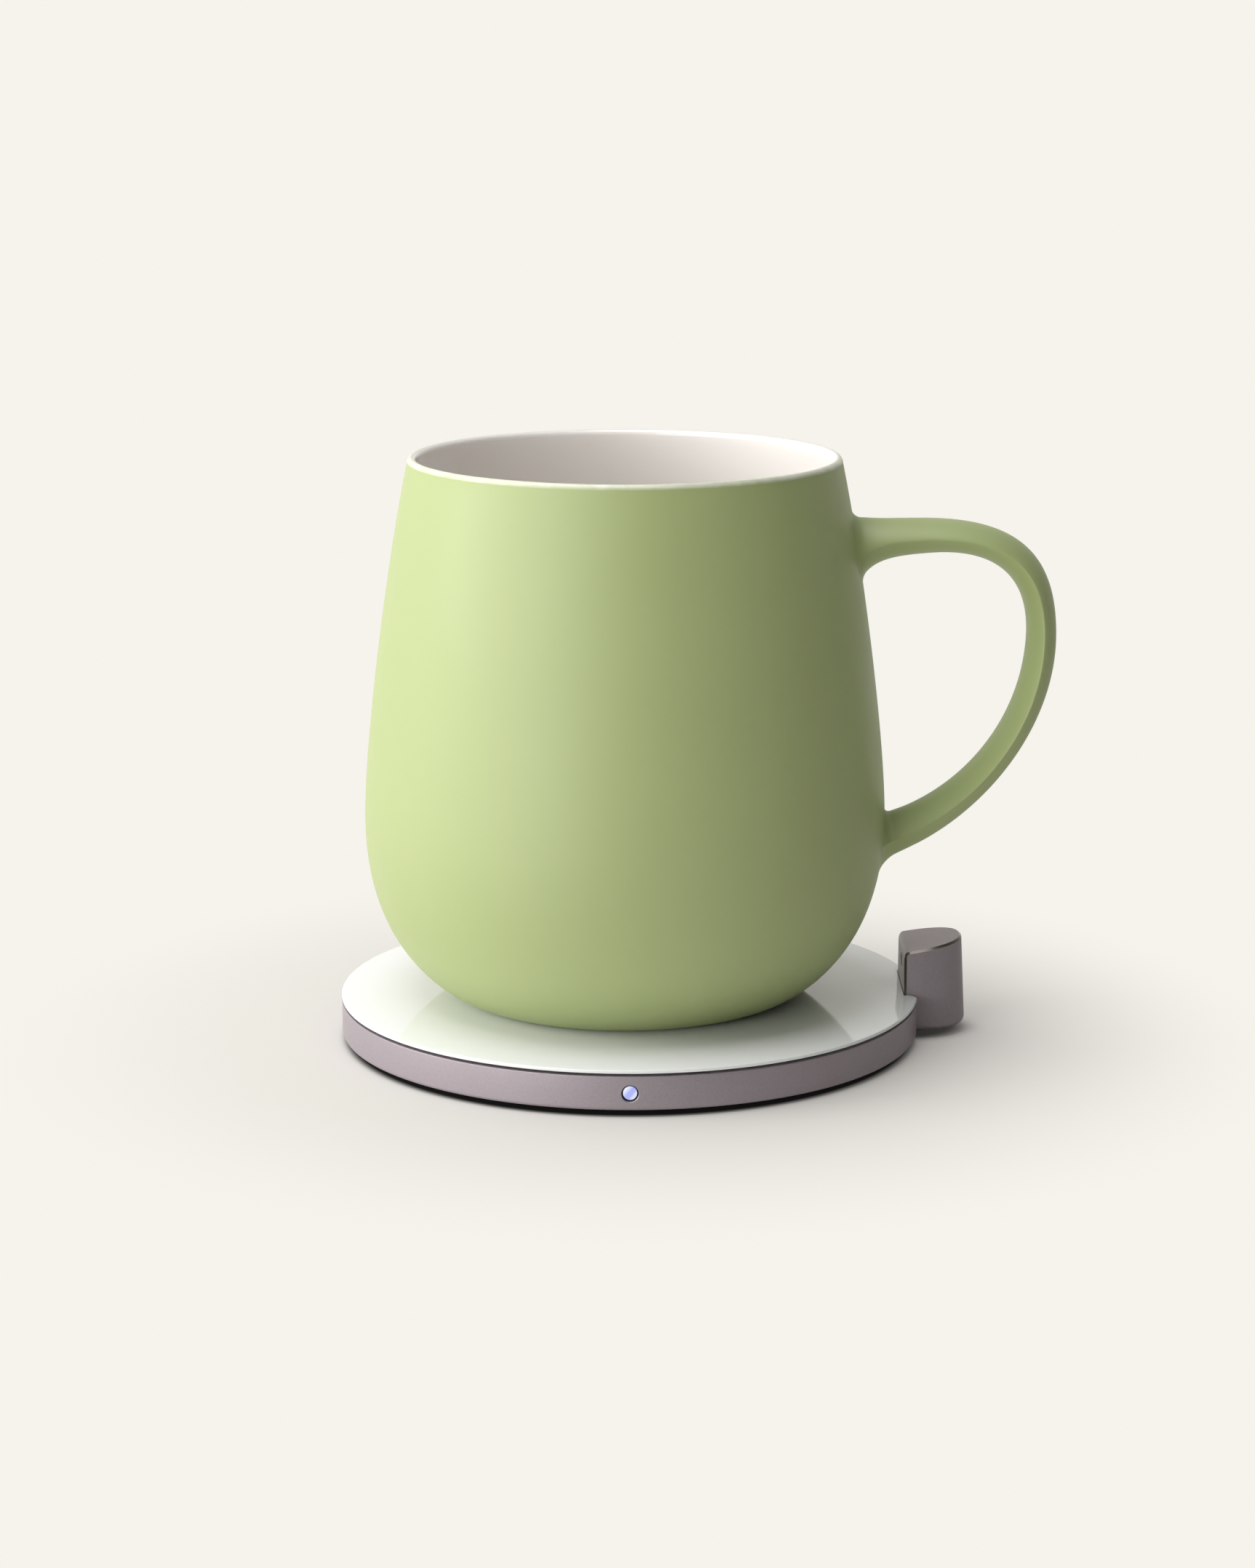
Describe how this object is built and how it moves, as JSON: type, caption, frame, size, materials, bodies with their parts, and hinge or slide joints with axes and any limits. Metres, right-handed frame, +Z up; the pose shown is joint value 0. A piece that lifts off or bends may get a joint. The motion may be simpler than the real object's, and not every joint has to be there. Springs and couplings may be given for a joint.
{
  "type": "self heating mug",
  "caption": "Satin green belly mug with a loop handle, standing on a round glass-topped induction warming pad with a metal band, an indicator lamp and a sensor post.",
  "frame": {"origin": "on the warming pad's axis, in the plane of the table that its foot disc rests on", "axes": "+Z up; +X towards the sensor post and the mug's handle; -Y towards the indicator lamp, so the power inlet faces +Y"},
  "size_m": [0.1227, 0.1, 0.101],
  "materials": {
    "ceramic": "satin green glaze outside, white glaze inside and on the lip",
    "mug_cover": "moulded cover, fine matt",
    "aluminium": "bead blasted and anodised mauve grey, with a fine sparkle",
    "glass": "tempered, back printed white, polished edge",
    "rubber": "matt",
    "dark_plastic": "moulded, fine matt",
    "copper": "enamelled copper winding",
    "ferrite": "sintered, matt",
    "circuit_board": "green solder mask on glass fibre",
    "chip": "black moulding compound",
    "capacitor": "brown ceramic",
    "steel": "nickel plated",
    "led": "white package",
    "lens": "clear light guide, lit blue white",
    "window": "infrared window, black and polished",
    "polyimide": "amber film",
    "foam": "compressed ceramic fibre felt"
  },
  "bodies": {
    "pad": {"base_pad": "rubber", "bottom_cover": "dark_plastic", "pad_housing": "aluminium", "glass_gasket": "rubber", "glass_plate": "glass", "coil_carrier": "dark_plastic", "transmitter_coil": "copper", "transmitter_ferrite": "ferrite", "main_board": "circuit_board", "inverter_chip": "chip", "pad_controller": "chip", "board_inductor": "ferrite", "board_capacitor_1": "capacitor", "board_capacitor_2": "capacitor", "board_capacitor_3": "capacitor", "led_chip": "led", "led_lens": "lens", "usb_shell": "steel", "usb_tongue": "chip", "cover_screw_1": "steel", "cover_screw_2": "steel", "cover_screw_3": "steel", "cover_screw_4": "steel", "board_screw_1": "steel", "board_screw_2": "steel", "board_screw_3": "steel", "bracket_screw_1": "steel", "bracket_screw_2": "steel", "post_shell": "aluminium", "post_cap": "dark_plastic", "post_bracket": "steel", "post_screw": "steel", "sensor_board": "circuit_board", "ir_sensor": "steel", "sensor_window": "window", "sensor_cable": "polyimide"},
    "mug": {"mug_body": "ceramic", "base_cover": "mug_cover", "base_seal": "rubber", "receiver_coil": "copper", "receiver_ferrite": "ferrite", "receiver_board": "circuit_board", "rectifier_chip": "chip", "receiver_controller": "chip", "receiver_capacitor_1": "capacitor", "receiver_capacitor_2": "capacitor", "insulation_pad": "foam", "heater_film": "polyimide", "thermistor": "steel", "thermal_fuse": "steel"}
  },
  "joints": [
    {"name": "mug_lift", "type": "slide", "parent": "pad", "child": "mug", "axis": [0, 0, 1], "range_m": [0, 0.15]}
  ]
}
